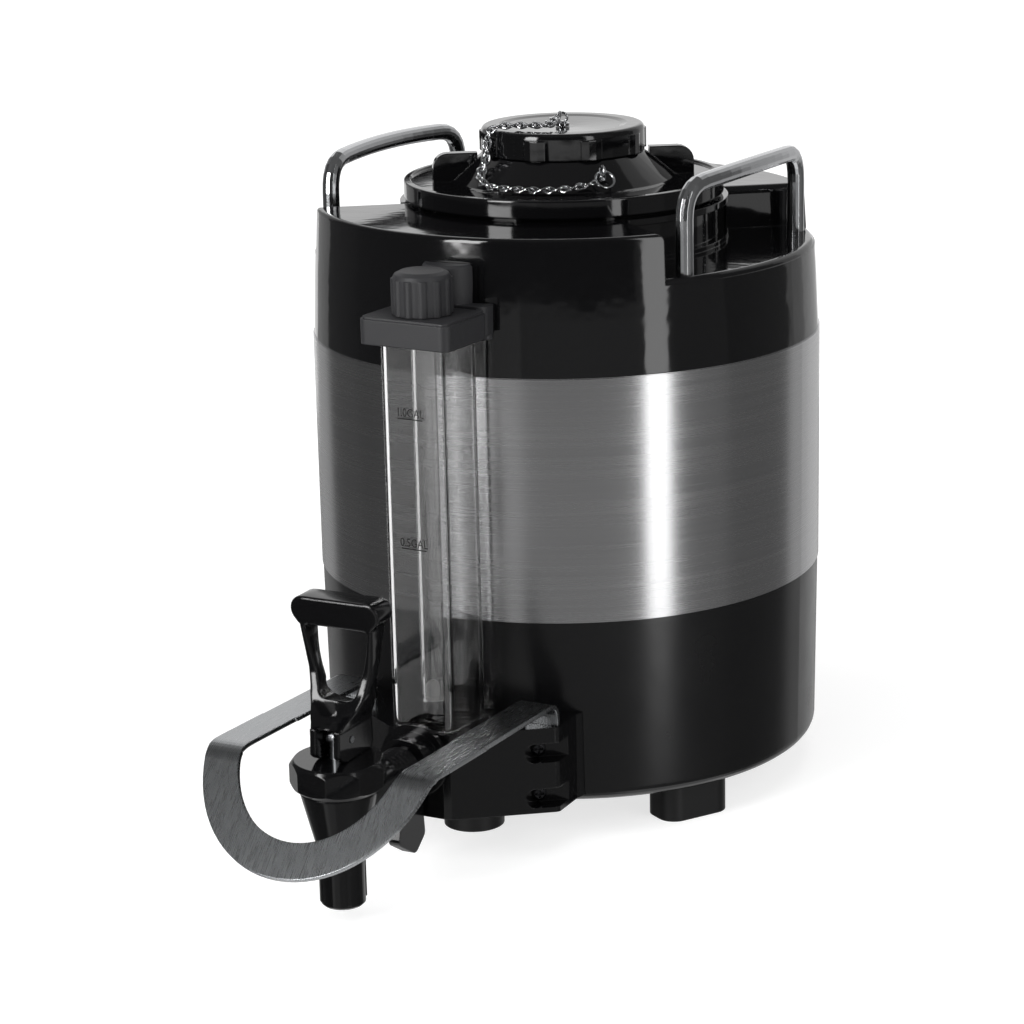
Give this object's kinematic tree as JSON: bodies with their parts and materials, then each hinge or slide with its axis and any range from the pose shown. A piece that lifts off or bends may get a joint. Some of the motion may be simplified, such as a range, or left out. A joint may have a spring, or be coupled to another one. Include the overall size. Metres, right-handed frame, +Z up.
{
  "type": "coffee urn",
  "caption": "Insulated tabletop coffee urn with a steel band, black collar with bail handles, sight gauge, lever faucet, cup guard, lift-off lid and tethered screw cap.",
  "frame": {"origin": "on the floor, in the middle of the overall footprint of the body, faucet and cup guard", "axes": "+Z up; the faucet points to -Y; +X is to the right when the faucet faces the viewer"},
  "size_m": [0.24, 0.4013, 0.3165],
  "materials": {
    "textured_black": "fine moulded texture, matte",
    "gloss_black": "polished moulding",
    "satin_black": "satin moulding",
    "black_nylon": "plain moulded nylon",
    "black_rubber": "soft rubber",
    "brushed_band": "stainless steel brushed around the body",
    "satin_strip": "stainless strip, satin with bright edges",
    "chrome_rod": "polished stainless rod",
    "vessel_steel": "drawn stainless sheet",
    "zinc_screw": "zinc-plated steel",
    "nickel_chain": "nickel-plated steel",
    "spring_wire": "stainless spring wire",
    "clear_plastic": "clear moulded polycarbonate",
    "gauge_glass": "clear borosilicate tube",
    "silicone": "translucent white silicone",
    "grey_gasket": "grey silicone gasket"
  },
  "bodies": {
    "urn": {"base_housing": "textured_black", "base_plate": "black_nylon", "plate_screws": "zinc_screw", "body_band": "brushed_band", "top_collar": "gloss_black", "vessel_liner": "vessel_steel", "vessel_jacket": "vessel_steel", "mouth_gasket": "grey_gasket", "handle_right": "chrome_rod", "handle_left": "chrome_rod", "handle_nuts": "zinc_screw", "foot_right": "black_rubber", "foot_left": "black_rubber", "foot_rear": "black_rubber", "foot_front": "black_rubber", "faucet_block": "textured_black", "block_screws": "zinc_screw", "cup_guard": "satin_strip", "outlet_pipe": "vessel_steel", "faucet_shank": "black_nylon", "shank_washer": "black_rubber", "faucet_body": "satin_black", "faucet_bonnet": "satin_black", "gauge_bracket": "textured_black", "gauge_shield": "clear_plastic", "gauge_glass": "gauge_glass", "gauge_seal": "silicone", "gauge_fitting": "black_nylon"},
    "shank_nut": {"shank_nut": "satin_black"},
    "gauge_knob": {"gauge_knob": "satin_black"},
    "stem": {"faucet_stem": "zinc_screw", "seat_cup": "silicone", "stem_spring": "spring_wire", "lever_pin": "zinc_screw"},
    "lever": {"faucet_lever": "satin_black"},
    "lid_plug": {"lid_gasket": "grey_gasket", "fill_funnel": "black_nylon"},
    "lid": {"lid_body": "gloss_black", "lid_eyelet": "nickel_chain", "split_ring": "nickel_chain", "cap_chain": "nickel_chain"},
    "stud": {"cap_stud": "nickel_chain"},
    "cap": {"fill_cap": "satin_black", "cap_gasket": "grey_gasket"}
  },
  "joints": [
    {"name": "nut_turn", "type": "hinge", "parent": "urn", "child": "shank_nut", "pos_m": [0, -0.0845, 0.049], "axis": [0, 1, 0], "continuous": true},
    {"name": "gauge_knob_turn", "type": "hinge", "parent": "urn", "child": "gauge_knob", "pos_m": [0, -0.0605, 0.255], "axis": [0, 0, 1], "continuous": true},
    {"name": "stem_lift", "type": "slide", "parent": "urn", "child": "stem", "axis": [0, 0, 1], "range_m": [0, 0.00236], "deforming": ["stem_spring"]},
    {"name": "lever_tilt", "type": "hinge", "parent": "stem", "child": "lever", "pos_m": [0, -0.1465, 0.0815], "axis": [1, 0, 0], "range_deg": [0, 45], "stiffness_Nm_per_rad": 0.6},
    {"name": "lid_lift", "type": "slide", "parent": "urn", "child": "lid_plug", "axis": [0, 0, 1], "range_m": [0, 0.2]},
    {"name": "lid_turn", "type": "hinge", "parent": "lid_plug", "child": "lid", "pos_m": [0, 0.0805, 0.28], "axis": [0, 0, 1], "range_deg": [-60, 0]},
    {"name": "cap_lift", "type": "slide", "parent": "lid", "child": "stud", "axis": [0, 0, 1], "range_m": [0, 0.03], "deforming": ["cap_chain"]},
    {"name": "cap_turn", "type": "hinge", "parent": "stud", "child": "cap", "pos_m": [0, 0.0805, 0.305], "axis": [0, 0, 1], "continuous": true}
  ],
  "couplings": [
    {"joint": "stem_lift", "follows": "lever_tilt", "m_per_rad": 0.003}
  ]
}
